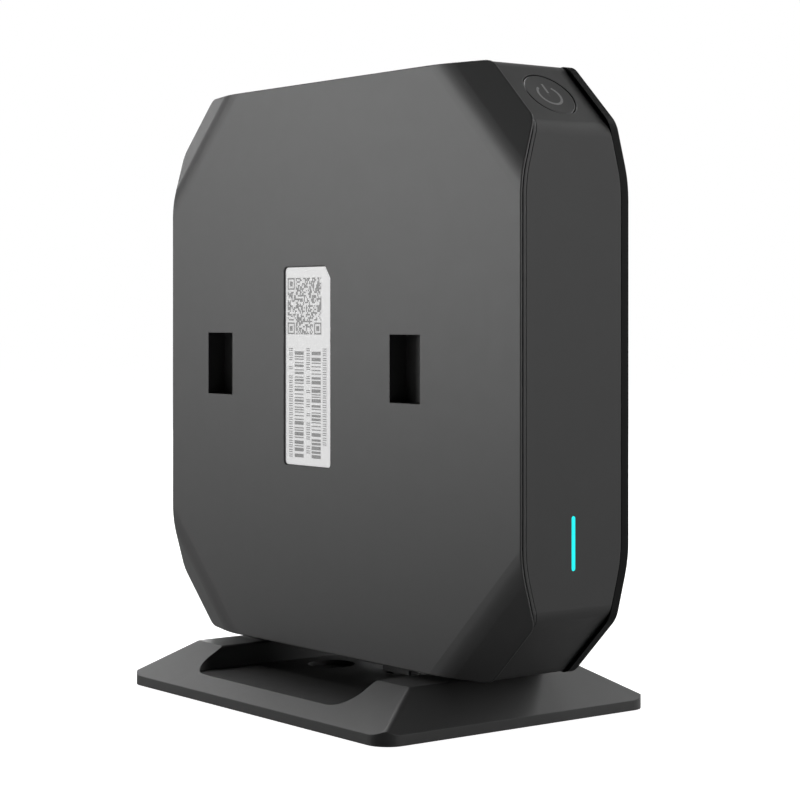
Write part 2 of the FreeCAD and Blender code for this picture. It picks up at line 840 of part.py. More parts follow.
def make_heat_sink():
    """The processor's thermal pad and the finned heat sink on it."""
    x, z, width, height, plate_thickness = [as_size(value) for value in BOARD_PARTS["sink_plate"]]
    pad_bottom = BOARD_PARTS["processor_chip"][-1]
    plate_bottom = pad_bottom + BOARD_PARTS["thermal_pad"][-1]
    fin_root = plate_bottom + plate_thickness - 0.2
    pieces = [on_board("sink_plate", plate_bottom)]
    pitch = (width - d.fin_thickness) / (d.fin_count - 1)
    for index in range(int(d.fin_count.value)):
        fin_x = x - width * 0.5 + d.fin_thickness * 0.5 + pitch * index
        centre = (fin_x, d.board_back - fin_root - d.fin_height * 0.5, d.centre_height + z)
        pieces.append(centred_box(f"fin_{index}", centre, (d.fin_thickness, d.fin_height, height)))
    return [on_board("thermal_pad", pad_bottom), fuse("heat_sink", *pieces)]


def shield_can(label):
    """A thin folded can over a radio, open towards the board."""
    x, z, width, height, tall = [as_size(value) for value in BOARD_PARTS[label]]
    wall = d.can_wall
    centre = (x, d.board_back - tall * 0.5, d.centre_height + z)
    outside = centred_box(label + "_outside", centre, (width, tall, height))
    centre = (x, d.board_back - tall * 0.5 + wall, d.centre_height + z)
    inside = centred_box(label + "_inside", centre, (width - wall * 2, tall, height - wall * 2))
    return cut(label, outside, inside)


def make_network_parts():
    """The network jack with its gold contacts, and the transformer behind it."""
    middle_y = d.board_back - d.jack_height * 0.5
    centre = (d.jack_face + d.jack_depth * 0.5, middle_y, d.jack_height_centre)
    shell = centred_box("jack_block", centre, (d.jack_depth, d.jack_height, d.jack_width))
    cavity_low = (d.jack_face - 1, middle_y - d.jack_cavity_height * 0.5,
                  d.jack_height_centre - d.jack_cavity_width * 0.5)
    cavity = box("jack_cavity", cavity_low,
                 (d.jack_cavity_depth + 1, d.jack_cavity_height, d.jack_cavity_width))
    latch_low = (d.jack_face - 1, cavity_low[1] - d.latch_height, d.jack_height_centre - d.latch_width * 0.5)
    latch = box("jack_latch", latch_low, (d.jack_cavity_depth + 1, d.latch_height + 1, d.latch_width))
    jack = cut("network_jack", shell, cavity, latch)
    contact_x = d.jack_face + d.jack_cavity_depth - d.contact_length * 0.5
    contact_y = middle_y + (d.jack_cavity_height - d.contact_thickness) * 0.5
    contacts = []
    for index in range(8):
        at = (contact_x, contact_y, d.jack_height_centre + d.contact_pitch * (index - 3.5))
        sides = (d.contact_length, d.contact_thickness, d.contact_width)
        contacts.append(centred_box(f"contact_{index}", at, sides))
    return [jack, group("jack_contacts", contacts), on_board("network_transformer")]


def power_shell(label, gap, outside=0):
    """A flat sleeve with round ends, as a USB type C socket has."""
    radius = d.power_height * 0.5 + gap
    straight = d.power_width - d.power_height
    start = d.jack_face - outside
    length = d.power_depth + outside
    middle_y = d.board_back - d.power_height * 0.5
    low = (start, middle_y - radius, d.power_height_centre - straight * 0.5)
    pieces = [box(label + "_flat", low, (length, radius * 2, straight))]
    for end in (-0.5, 0.5):
        at = (start, middle_y, d.power_height_centre + straight * end)
        name = label + ("_low" if end < 0 else "_high")
        pieces.append(cylinder(name, at, "X", radius, length))
    return fuse(label, *pieces)


def make_power_parts():
    """The power jack, its tongue, and the converter's coils and capacitors."""
    hollow = power_shell("power_hollow", -d.power_shell, 1)
    tongue_end = d.jack_face + d.power_depth - 1.0
    back_wall = box("power_back", (tongue_end, 0, d.power_height_centre - 10), (3, 10, 20))
    jack = cut("power_jack", power_shell("power_outside", 0), cut("power_inside", hollow, back_wall))
    tongue = centred_box("power_tongue", (tongue_end - 2.4, d.board_back - d.power_height * 0.5,
                                          d.power_height_centre), (4.8, 0.7, 6.7))
    coils = [on_board("coil_0"), on_board("coil_1")]
    cans = []
    for index, (x, z) in enumerate(CAPACITOR_PLACES):
        start = (x, d.board_back - d.capacitor_height, d.centre_height + z)
        cans.append(cylinder(f"can_{index}", start, "Y", d.capacitor_radius, d.capacitor_height))
    return [jack, tongue, group("power_coils", coils), group("capacitors", cans)]


# ---------------------------------------------------------------- buttons

def make_button():
    """The round button's cap and the switch's plunger that it presses."""
    flange_top = inner_corner - d.flange_gap
    flange_bottom = flange_top - d.flange_thickness
    stem_end = flange_bottom - d.stem_length
    top = d.frame_corner
    at = (0, d.control_y, d.centre_height)
    cap = turned("button_cap", [
        (0, stem_end), (d.stem_radius, stem_end), (d.stem_radius, flange_bottom),
        (d.flange_radius, flange_bottom), (d.flange_radius, flange_top), (d.cap_radius, flange_top),
        (d.cap_radius, top - d.rim_rounding), (d.cap_radius - d.rim_rounding, top),
        (d.cap_radius - 1.2, top - d.cap_dish * 0.3), (d.cap_radius - 3, top - d.cap_dish * 0.8),
        (0, top - d.cap_dish)], at=at, turn=DIAGONAL)
    plunger = turned("switch_plunger", [
        (0, stem_end - d.plunger_length), (d.plunger_radius, stem_end - d.plunger_length),
        (d.plunger_radius, stem_end - 0.2), (d.plunger_radius - 0.2, stem_end), (0, stem_end)],
        at=at, turn=DIAGONAL)
    return [cap, plunger]


def corner_prism(label, start, length, x, y, width, height):
    """A block whose length runs outwards along the button's axis."""
    return prism(label, "XY_Plane", start, length, [rectangle(x, y, width, height)],
                 at=(0, d.control_y, d.centre_height), turn=DIAGONAL)


def make_button_switch():
    """The switch behind the button, and the bracket that stands it on the board."""
    switch_top = inner_corner - d.flange_gap - d.flange_thickness - d.stem_length - d.switch_gap
    body = corner_prism("switch_body", switch_top - d.switch_depth, d.switch_depth, 0, 0,
                        d.switch_side, d.switch_side)
    hole = cylinder("switch_hole", corner_point(switch_top - 1.6), "corner", d.plunger_radius + 0.1, 3)
    switch = cut("button_switch", body, hole)
    low_y = -(d.switch_side * 0.5)
    high_y = d.board_back - d.control_y
    bracket = corner_prism("bracket_plate", switch_top - d.switch_depth - d.bracket_thickness,
                           d.bracket_thickness, 0, (low_y + high_y) * 0.5, d.switch_side + 1, high_y - low_y)
    foot = corner_prism("bracket_foot", switch_top - d.switch_depth - d.bracket_foot, d.bracket_foot,
                        0, high_y - d.bracket_thickness * 0.5, d.switch_side + 1, d.bracket_thickness)
    return [switch, fuse("switch_bracket", bracket, foot)]


def make_reset():
    """The reset switch and its plunger behind the pin hole."""
    side = d.reset_side
    y = d.board_back - side * 0.5
    z = d.reset_height_centre
    face = -d.board_half
    block = centred_box("reset_block", (face + side * 0.5, y, z), (side, side, d.reset_block_height))
    bore = cylinder("reset_bore", (face - 1, y, z), "X", d.reset_radius + 0.1, 1 + d.reset_travel * 4)
    plunger = cylinder("reset_plunger", (face - d.reset_reach, y, z), "X", d.reset_radius,
                       d.reset_reach + d.reset_travel * 2)
    return [cut("reset_switch", block, bore), plunger]


# ---------------------------------------------------------------- antennas

def lead_path(points):
    """A wire of straight runs joined by the largest tangent arcs that the runs allow."""
    edges = []
    position = points[0]
    for before, corner, after in zip(points, points[1:], points[2:]):
        into = (corner - before).normalize()
        out = (after - corner).normalize()
        shorter = min((corner - before).Length, (after - corner).Length)
        setback = 0.45 * shorter
        entry = corner - into * setback
        leave = corner + out * setback
        half_turn = into.getAngle(out) / 2
        radius = setback / math.tan(half_turn)
        bisector = (out - into).normalize()
        centre = corner + bisector * (radius / math.cos(half_turn))
        middle = centre - bisector * radius
        edges.append(Part.LineSegment(position, entry).toShape())
        edges.append(Part.Arc(entry, middle, leave).toShape())
        position = leave
    edges.append(Part.LineSegment(position, points[-1]).toShape())
    return Part.Wire(edges)


def coaxial_lead(label, points, radius):
    """A round lead swept along its route, from its socket to its antenna."""
    path = lead_path(points)
    start = path.Edges[0]
    circle = Part.Wire(Part.Circle(points[0], start.tangentAt(start.FirstParameter), radius).toShape())
    item = doc.addObject("Part::Feature", label)
    item.Label = label
    item.Shape = path.makePipeShell([circle], True, False)
    expected = math.pi * radius ** 2 * path.Length
    if abs(item.Shape.Volume - expected) > expected * 0.02:
        raise RuntimeError(f"{label}: the swept volume is wrong")
    place(item, 0, 0, 0)
    return item


def make_antennas():
    """Two strip antennas on the frame's inside, their sockets on the board, and the leads between them."""
    strip = d.antenna_thickness
    top_z = d.centre_height + inner_half - d.antenna_gap - strip
    side_x = -inner_half + d.antenna_gap
    back, wide = d.antenna_back, d.antenna_width
    top_antenna = box("wifi_antenna", (d.wifi_antenna_start, back, top_z),
                      (d.wifi_antenna_length, wide, strip))
    side_antenna = box("link_antenna", (side_x, back, d.centre_height + d.link_antenna_start),
                       (strip, wide, d.link_antenna_length))
    centre = d.centre_height.value
    end_y = (back + wide * 0.5).value
    socket_y = (d.board_back - d.socket_height - 0.1 - d.lead_radius).value
    reach = d.lead_radius + 0.05
    top_route = [FreeCAD.Vector(36, socket_y, centre + 38), FreeCAD.Vector(28, socket_y, centre + 44),
                 FreeCAD.Vector(18, 0, centre + 56), FreeCAD.Vector(4, end_y, (top_z - reach).value)]
    side_route = [FreeCAD.Vector(-30, socket_y, centre + 42), FreeCAD.Vector(-42, socket_y, centre + 43),
                  FreeCAD.Vector(-55, 0, centre + 47),
                  FreeCAD.Vector((side_x + strip + reach).value, end_y, centre + 44)]
    wifi_lead = coaxial_lead("wifi_antenna_lead", top_route, d.lead_radius.value)
    link_lead = coaxial_lead("link_antenna_lead", side_route, d.lead_radius.value)
    sockets = []
    for index, point in enumerate((top_route[0], side_route[0])):
        start = (point.x, d.board_back - d.socket_height, point.z)
        sockets.append(cylinder(f"socket_{index}", start, "Y", d.socket_radius, d.socket_height))
    return [top_antenna, side_antenna, wifi_lead, link_lead, group("antenna_sockets", sockets)]


# ---------------------------------------------------------------- stand

def sloped_block(label, low, rim, high, half, half_plateau, radius):
    """A block with rounded corners, cut back by four flat slopes that run from its rim up to a plateau."""
    body = new_body(label)
    sketch = new_sketch(body, "XY_Plane", low)
    add_rounded_rectangle(sketch, *half, radius)
    pad(body, sketch, high - low)
    for plane, edge, top in zip(("XZ_Plane", "YZ_Plane"), half, half_plateau):
        for side in (1, -1):
            slope = new_sketch(body, plane, 0)
            outside = edge + 1
            above = high + 1
            add_polygon(slope, [(top * side, high), (edge * side, rim), (outside * side, rim),
                                (outside * side, above), (top * side, above)])
            pocket(body, slope, edge * 4, both_ways=True)
    return body


def add_rounded_rectangle(sketch, half_x, half_y, radius):
    """Adds a rectangle about the sketch's origin whose corners are tangent arcs."""
    first = sketch.GeometryCount
    x, y = half_x - radius, half_y - radius
    centres = [(x * i, y * j) for i, j in CORNERS]
    for index, (centre_x, centre_y) in enumerate(centres):
        centre = FreeCAD.Vector(centre_x.value, centre_y.value, 0)
        circle = Part.Circle(centre, FreeCAD.Vector(0, 0, 1), radius.value)
        start = math.pi / 2 * index
        sketch.addGeometry(Part.ArcOfCircle(circle, start, start + math.pi / 2), False)
    ends = [(half_x, y), (x, half_y), (-x, half_y), (-half_x, y),
            (-half_x, -y), (-x, -half_y), (x, -half_y), (half_x, -y)]
    vectors = [FreeCAD.Vector(as_size(px).value, as_size(py).value, 0) for px, py in ends]
    for index in range(4):
        start = vectors[2 * index + 1]
        end = vectors[(2 * index + 2) % 8]
        sketch.addGeometry(Part.LineSegment(start, end), False)
    for index, (centre_x, centre_y) in enumerate(centres):
        arc = first + index
        line = first + 4 + index
        following = first + (index + 1) % 4
        sketch.addConstraint(Sketcher.Constraint("Tangent", arc, 2, line, 1))
        sketch.addConstraint(Sketcher.Constraint("Tangent", line, 2, following, 1))
        pin(sketch, arc, 3, centre_x, centre_y)
    index = sketch.addConstraint(Sketcher.Constraint("Radius", first, radius.value))
    drive(sketch, f"Constraints[{index}]", radius)


def pocket_block(label, grow, low, high):
    """The pocket's plan shape, from one level to another."""
    half_x, half_y, radius = d.pocket_half_x + grow, d.pocket_half_y + grow, d.pocket_radius + grow
    body = new_body(label)
    sketch = new_sketch(body, "XY_Plane", low)
    add_rounded_rectangle(sketch, half_x, half_y, radius)
    pad(body, sketch, high - low)
    return body


def make_stand_outside():
    """The stand's outer block with softened hips and creases, and the pocket cut into it."""
    plateau = (d.plateau_half_x, d.plateau_half_y)
    block = sloped_block("stand_outside", d.rim_bottom, d.rim_height, d.plateau_height,
                         (d.stand_half_x, d.stand_half_y), plateau, d.stand_radius)

    def is_hip(edge):
        if not isinstance(edge.Curve, Part.Line):
            return False
        return all(abs(part) > 0.1 for part in edge.Curve.Direction)

    def is_top_edge(edge):
        return all(abs(vertex.Point.z - d.plateau_height.value) < 1e-3 for vertex in edge.Vertexes)

    round_edges(block, d.hip_radius, is_hip)
    sketch = new_sketch(block, "XY_Plane", d.pocket_floor)
    add_rounded_rectangle(sketch, d.pocket_half_x, d.pocket_half_y, d.pocket_radius)
    pocket(block, sketch, 20)
    round_edges(block, d.pocket_rounding, is_top_edge)
    return block


def make_stand_base():
    """The stand's moulded base: outside, hollow underside, bosses, tongue, ribs and counterbored holes."""
    wall = d.stand_wall
    hollow = sloped_block("stand_hollow", as_size(-1), d.rim_height - d.hollow_drop, d.plateau_height - wall,
                          (d.stand_half_x - wall, d.stand_half_y - wall),
                          (d.plateau_half_x - d.hollow_inset, d.plateau_half_y - d.hollow_inset),
                          d.stand_radius - wall)
    under_pocket = d.pocket_floor - d.pocket_floor_thickness
    keep = pocket_block("pocket_walls", wall, under_pocket, d.plateau_height + 5)
    floor_top = d.floor_bottom + d.floor_thickness
    additions = []
    holes = []
    tube_low = floor_top + 0.1
    for index, side in enumerate((-1, 1)):
        x = d.bore_spread * side
        additions.append(cylinder(f"bore_tube_{index}", (x, 0, tube_low), "Z", d.counterbore_radius + 1.5,
                                  under_pocket - tube_low + 0.5))
        holes.append(cylinder(f"bore_{index}", (x, 0, 0), "Z", d.bore_radius, 10))
        holes.append(cylinder(f"counterbore_{index}", (x, 0, d.pocket_floor - d.counterbore_depth), "Z",
                              d.counterbore_radius, 5))
        rib_centre = (d.rest_rib_x * side, 0, (d.plateau_height + unit_bottom - d.rest_gap - 0.5) * 0.5)
        rib_height = unit_bottom - d.plateau_height + 0.5 - d.rest_gap
        additions.append(centred_box(f"rest_rib_{index}", rib_centre,
                                     (d.rest_rib_width, d.rest_rib_length, rib_height)))
    boss_height = d.plateau_height - wall - floor_top + 0.3
    for index, (i, j) in enumerate(CORNERS):
        at = (d.stand_screw_x * i, d.stand_screw_y * j, floor_top)
        additions.append(cylinder(f"stand_boss_{index}", at, "Z", d.stand_boss_radius, boss_height))
        holes.append(cylinder(f"stand_pilot_{index}", at, "Z", d.pilot_radius, d.stand_screw_length))
    additions.append(make_tongue())
    shut_off_low = (-d.shut_off_half, d.tongue_front - d.shut_off_depth, 0)
    shut_off_sides = (d.shut_off_half * 2, d.shut_off_depth, d.pocket_floor + 1)
    holes.append(box("shut_off", shut_off_low, shut_off_sides))
    shell = cut("stand_shell", make_stand_outside(), cut("stand_void", hollow, keep))
    return cut("stand_base", fuse("stand_solid", shell, *additions), *holes)


def make_tongue():
    """The upright tongue that holds the unit in place, with a lead-in at its top."""
    body = new_body("tongue")
    sketch = new_sketch(body, "YZ_Plane", -d.tongue_half)
    front = d.tongue_front
    back = d.tongue_front + d.tongue_thickness
    root = d.pocket_floor - 0.5
    top = d.pocket_floor + d.tongue_height
    add_polygon(sketch, [(front, root), (back, root), (back, top - 1), (back - 0.8, top), (front + 0.8, top),
                         (front, top - 1)])
    pad(body, sketch, d.tongue_half * 2)
    round_edges(body, as_size(0.5), lambda edge: is_along(edge, FreeCAD.Vector(0, 0, 1)))
    return body


def make_stand_floor():
    """The plate that closes the stand, with screw seats and shallow seats for the feet."""
    inset = d.stand_wall + d.floor_gap
    body = new_body("floor_plate")
    sketch = new_sketch(body, "XY_Plane", d.floor_bottom)
    add_rounded_rectangle(sketch, d.stand_half_x - inset, d.stand_half_y - inset, d.stand_radius - inset)
    pad(body, sketch, d.floor_thickness)
    top = d.floor_bottom + d.floor_thickness
    bevel_edges(body, d.floor_bevel, lambda edge: all(abs(v.Z - top.value) < 1e-3 for v in edge.Vertexes))
    holes = []
    for index, side in enumerate((-1, 1)):
        holes.append(cylinder(f"floor_bore_{index}", (d.bore_spread * side, 0, 0), "Z", d.bore_radius, 5))
    for index, (i, j) in enumerate(CORNERS):
        at = (d.stand_screw_x * i, d.stand_screw_y * j, 0)
        seat = d.floor_bottom + d.screw_seat
        holes.append(cylinder(f"floor_hole_{index}", at, "Z", d.screw_radius + 0.3, 5))
        holes.append(cylinder(f"floor_seat_{index}", at, "Z", d.screw_head_radius + 0.2, seat))
        foot = (d.foot_x * i, d.foot_y * j, 0)
        holes.append(cylinder(f"foot_seat_{index}", foot, "Z", d.foot_radius + 0.1,
                              d.floor_bottom + d.foot_seat))
    return cut("stand_floor", body, *holes)


def make_stand_feet():
    """Four rubber feet stuck into the floor plate."""
    top = d.floor_bottom + d.foot_seat
    radius = d.foot_radius
    feet = []
    for index, (i, j) in enumerate(CORNERS):
        profile = [(0, 0), (radius - 0.3, 0), (radius, 0.3), (radius, top), (0, top)]
        feet.append(turned(f"foot_{index}", profile, at=(d.foot_x * i, d.foot_y * j, 0)))
    return group("stand_feet", feet)


def make_stand_screws():
    """The four screws that hold the floor plate from below."""
    screws = []
    for index, (i, j) in enumerate(CORNERS):
        seat = (d.stand_screw_x * i, d.stand_screw_y * j, d.floor_bottom + d.screw_seat)
        screws.append(screw(f"stand_screw_{index}", seat, "Z", d.stand_screw_head_height,
                            d.stand_screw_length))
    return group("stand_screws", screws)


# ---------------------------------------------------------------- build, check and write

def build_nodes():
    """Every sub-part that is written, in the order in which it would be put together."""
    nodes = [make_stand_base(), make_stand_floor(), make_stand_feet(), make_stand_screws()]
    nodes += [make_rear_cover(), make_middle_frame(), make_front_cover(), make_device_label()]
    nodes += [make_light_guide(), make_light_gasket(), make_status_leds()]
    nodes += [make_main_board(), make_board_screws()]
    nodes += make_chips()
    nodes += make_heat_sink()
    nodes += [shield_can("wifi_shield_can"), shield_can("link_shield_can")]
    nodes += make_network_parts()
    nodes += make_power_parts()
    nodes += make_button()
    nodes += make_button_switch()
    nodes += make_reset()
    nodes += make_antennas()
    doc.recompute()
    return nodes


def check(nodes):
    """Stops if any object failed or any sub-part's shape is missing or invalid."""
    failed = [item.Label for item in doc.Objects if "Invalid" in item.State or "Error" in item.State]
    for node in nodes:
        if node.Shape.isNull() or not node.Shape.isValid() or not node.Shape.Solids:
            failed.append(node.Label)
    if failed:
        raise RuntimeError("failed objects: " + ", ".join(failed))


def write(nodes):
    """Writes each sub-part to its own file."""
    os.makedirs("parts", exist_ok=True)
    for node in nodes:
        node.Shape.exportStep(f"parts/{node.Label}.step")
        print(f"{node.Label}: {len(node.Shape.Solids)} solid(s), {node.Shape.Volume:.0f} mm3")


all_nodes = build_nodes()
check(all_nodes)
write(all_nodes)
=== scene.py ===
"""Looks for a desk communication hub on its stand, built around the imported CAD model.

All lengths are in metres. The object faces -Y with its labelled cover, and +Z is up.
"""

import json
import math
import random

import bmesh
import bpy
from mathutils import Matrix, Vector


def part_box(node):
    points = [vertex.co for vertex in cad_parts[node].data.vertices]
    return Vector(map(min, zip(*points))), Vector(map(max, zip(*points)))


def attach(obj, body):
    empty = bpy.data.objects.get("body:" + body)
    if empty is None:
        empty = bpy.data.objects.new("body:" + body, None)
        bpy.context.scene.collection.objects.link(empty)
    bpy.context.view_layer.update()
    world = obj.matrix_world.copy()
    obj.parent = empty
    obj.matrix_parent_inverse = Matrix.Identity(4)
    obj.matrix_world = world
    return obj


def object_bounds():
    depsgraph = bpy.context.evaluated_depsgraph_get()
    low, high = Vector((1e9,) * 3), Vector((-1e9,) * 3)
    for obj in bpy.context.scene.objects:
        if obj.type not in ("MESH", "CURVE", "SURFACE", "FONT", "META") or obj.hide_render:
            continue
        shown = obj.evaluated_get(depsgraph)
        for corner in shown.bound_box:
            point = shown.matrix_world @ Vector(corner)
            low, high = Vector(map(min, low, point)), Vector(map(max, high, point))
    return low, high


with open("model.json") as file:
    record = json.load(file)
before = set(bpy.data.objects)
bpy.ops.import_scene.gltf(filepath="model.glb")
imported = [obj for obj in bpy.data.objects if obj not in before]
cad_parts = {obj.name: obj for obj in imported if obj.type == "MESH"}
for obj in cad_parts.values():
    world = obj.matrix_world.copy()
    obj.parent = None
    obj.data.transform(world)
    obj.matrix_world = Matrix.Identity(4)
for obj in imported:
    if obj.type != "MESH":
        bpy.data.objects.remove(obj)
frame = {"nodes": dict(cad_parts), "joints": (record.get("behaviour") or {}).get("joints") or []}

MM = 0.001
cad_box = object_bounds()


# ---------------------------------------------------------------- materials

# Nearly all of a noise's values lie between these.
NOISE_SPAN = (0.3, 0.7)


class Shader:
    """A material with one Principled shader, and one call for each node that feeds it."""

    def __init__(self, name, colour, roughness, **values):
        self.material = bpy.data.materials.new(name)
        self.material.use_nodes = True
        self.tree = self.material.node_tree
        self.surface = self.tree.nodes["Principled BSDF"]
        self.place = self.add("ShaderNodeTexCoord").outputs["Object"]
        self.colour = colour
        self.roughness = roughness
        self.set("Base Color", (*colour, 1.0))
        self.set("Roughness", roughness)
        for socket, value in values.items():
            self.set(socket.replace("_", " "), value)

    def set(self, socket, value):
        """Gives a socket of the shader a plain value."""
        self.surface.inputs[socket].default_value = value

    def drive(self, socket, output):
        """Feeds a socket of the shader from a node."""
        self.tree.links.new(output, self.surface.inputs[socket])

    def add(self, kind, values=(), **settings):
        """A new node. Each value is a number or vector to set, or an output to link."""
        node = self.tree.nodes.new(kind)
        for key, setting in settings.items():
            setattr(node, key, setting)
        for socket, value in dict(values).items():
            if isinstance(value, bpy.types.NodeSocket):
                self.tree.links.new(value, node.inputs[socket])
            else:
                node.inputs[socket].default_value = value
        return node

    def noise(self, size, detail=3.0, stretch=(1.0, 1.0, 1.0)):
        """Noise with features of about this size, from 0 to 1."""
        place = self.add("ShaderNodeMapping", {"Vector": self.place, "Scale": stretch}).outputs[0]
        values = {"Vector": place, "Scale": 1.0 / size, "Detail": detail}
        return self.add("ShaderNodeTexNoise", values).outputs["Fac"]

    def cells(self, size):
        """Distance within cells of about this size, from 0 at a cell's middle."""
        values = {"Vector": self.place, "Scale": 1.0 / size}
        return self.add("ShaderNodeTexVoronoi", values).outputs["Distance"]

    def ramp(self, output, low, high, to_low=0.0, to_high=1.0):
        """Stretches a value from one range to another, and clamps it there."""
        values = {"Value": output, "From Min": low, "From Max": high, "To Min": to_low, "To Max": to_high}
        return self.add("ShaderNodeMapRange", values).outputs[0]

    def times(self, first, second):
        """The product of two values."""
        return self.add("ShaderNodeMath", {0: first, 1: second}, operation="MULTIPLY").outputs[0]

    def blend(self, factor, first, second):
        """Mixes two colours, each a plain triple or an output."""
        node = self.add("ShaderNodeMix", {"Factor": factor}, data_type="RGBA")
        for name, value in (("A", first), ("B", second)):
            socket = next(s for s in node.inputs if s.name == name and s.type == "RGBA")
            if isinstance(value, bpy.types.NodeSocket):
                self.tree.links.new(value, socket)
            else:
                socket.default_value = (*value, 1.0)
        return next(s for s in node.outputs if s.type == "RGBA")

    def mottle(self, size, spread, roughness_spread):
        """Slight unevenness in colour and in roughness. Returns the colour."""
        patches = self.noise(size)
        light = tuple(min(1.0, c * (1 + spread)) for c in self.colour)
        dark = tuple(c * (1 - spread) for c in self.colour)
        colour = self.blend(self.ramp(patches, *NOISE_SPAN), dark, light)
        low, high = self.roughness - roughness_spread, self.roughness + roughness_spread
        self.drive("Roughness", self.ramp(self.noise(size / 3), *NOISE_SPAN, low, high))
        self.drive("Base Color", colour)
        return colour

    def bump(self, height, depth, normal=None):
        """Raises the surface by a height from 0 to 1, times a depth."""
        values = {"Height": height, "Distance": depth, "Strength": 1.0}
        if normal is not None:
            values["Normal"] = normal
        self.drive("Normal", self.add("ShaderNodeBump", values).outputs["Normal"])

    def edges(self, radius):
        """The softened normal near edges, and how near an edge is, from 0 to 1."""
        soft = self.add("ShaderNodeBevel", {"Radius": radius}, samples=4).outputs["Normal"]
        flat = self.add("ShaderNodeNewGeometry").outputs["Normal"]
        likeness = self.add("ShaderNodeVectorMath", {0: soft, 1: flat}, operation="DOT_PRODUCT")
        return soft, self.ramp(likeness.outputs["Value"], 0.995, 0.8)


def moulded(name, colour, roughness=0.5, grain=0.22 * MM, depth=0.004 * MM, wear=0.0, **values):
    """Moulded plastic: a spark-eroded grain, uneven gloss, and edges that handling has polished."""
    shader = Shader(name, colour, roughness, **values)
    colour_output = shader.mottle(size=12 * MM, spread=0.015, roughness_spread=0.012)
    grains = shader.noise(grain, detail=4.0)
    if wear == 0.0:
        shader.bump(grains, depth)
        return shader.material
    soft, edge = shader.edges(radius=0.25 * MM)
    worn = shader.times(edge, shader.ramp(shader.noise(1.5 * MM), 0.35, 0.7))
    polished = tuple(min(1.0, c * (1 + wear)) for c in colour)
    shader.drive("Base Color", shader.blend(worn, colour_output, polished))
    shader.bump(grains, depth, soft)
    return shader.material


def metal(name, colour, roughness=0.3, brushed=(1.0, 1.0, 12.0)):
    """Bare or plated metal with a brushed or rolled grain."""
    shader = Shader(name, colour, roughness, Metallic=1.0)
    shader.mottle(size=4 * MM, spread=0.06, roughness_spread=0.08)
    shader.bump(shader.noise(0.3 * MM, stretch=brushed), depth=0.003 * MM)
    return shader.material


def coated_paper(name, colour, glow):
    """Matt coated label paper with faint fibres, and a painted glow: it gives off white light of its own, so
    that it stands out brighter against dark plastic.
    """
    # Painted glow: the paper gives off white light of its own, though it is no lamp.
    shader = Shader(name, colour, 0.6, Emission_Strength=glow)
    shader.set("Emission Color", (1.0, 1.0, 1.0, 1.0))
    shader.mottle(size=3 * MM, spread=0.02, roughness_spread=0.05)
    shader.bump(shader.noise(0.12 * MM, detail=5.0, stretch=(1.0, 1.0, 3.0)), depth=0.003 * MM)
    return shader.material


def printed_ink(name, colour):
    """Thin printed ink, slightly uneven."""
    shader = Shader(name, colour, 0.55)
    shader.mottle(size=0.6 * MM, spread=0.08, roughness_spread=0.05)
    shader.bump(shader.noise(0.1 * MM), depth=0.002 * MM)
    return shader.material


def lit_guide(name, colour, glow, strength):
    """A light guide lit from within: a little brighter over each LED behind it."""
    shader = Shader(name, colour, 0.35, Emission_Strength=strength)
    hot = shader.ramp(shader.noise(5 * MM, detail=0.0, stretch=(0.2, 0.2, 1.0)), *NOISE_SPAN)
    dim = tuple(c * 0.93 for c in glow)
    shader.drive("Emission Color", shader.blend(hot, dim, glow))
    shader.bump(shader.noise(0.3 * MM), depth=0.002 * MM)
    return shader.material


def rubber(name, colour, cell=0.5 * MM, depth=0.03 * MM):
    """Rubber or foam with a fine cellular surface."""
    shader = Shader(name, colour, 0.85)
    shader.mottle(size=2 * MM, spread=0.12, roughness_spread=0.06)
    shader.bump(shader.cells(cell), depth)
    return shader.material


def solder_mask(name, colour, copper):
    """A circuit board's lacquer, with tracks showing through it."""
    shader = Shader(name, colour, 0.35, Coat_Weight=0.3)
    base = shader.mottle(size=6 * MM, spread=0.08, roughness_spread=0.05)
    flat = {"Vector": shader.place, "Rotation": (math.pi / 2, 0, 0)}
    black, white = (0, 0, 0, 1), (1, 1, 1, 1)
    bricks = {
        "Vector": shader.add("ShaderNodeMapping", flat).outputs[0],
        "Scale": 1.0,
        "Mortar Size": 0.12 * MM,
        "Brick Width": 3.1 * MM,
        "Row Height": 0.9 * MM,
        "Color1": black,
        "Color2": black,
        "Mortar": white,
    }
    tracks = shader.add("ShaderNodeTexBrick", bricks).outputs["Color"]
    broken = shader.times(tracks, shader.ramp(shader.noise(9 * MM), 0.48, 0.52))
    shader.drive("Base Color", shader.blend(broken, base, copper))
    shader.bump(broken, depth=0.02 * MM)
    return shader.material


def grey(tone):
    """A neutral colour."""
    return (tone, tone, tone)


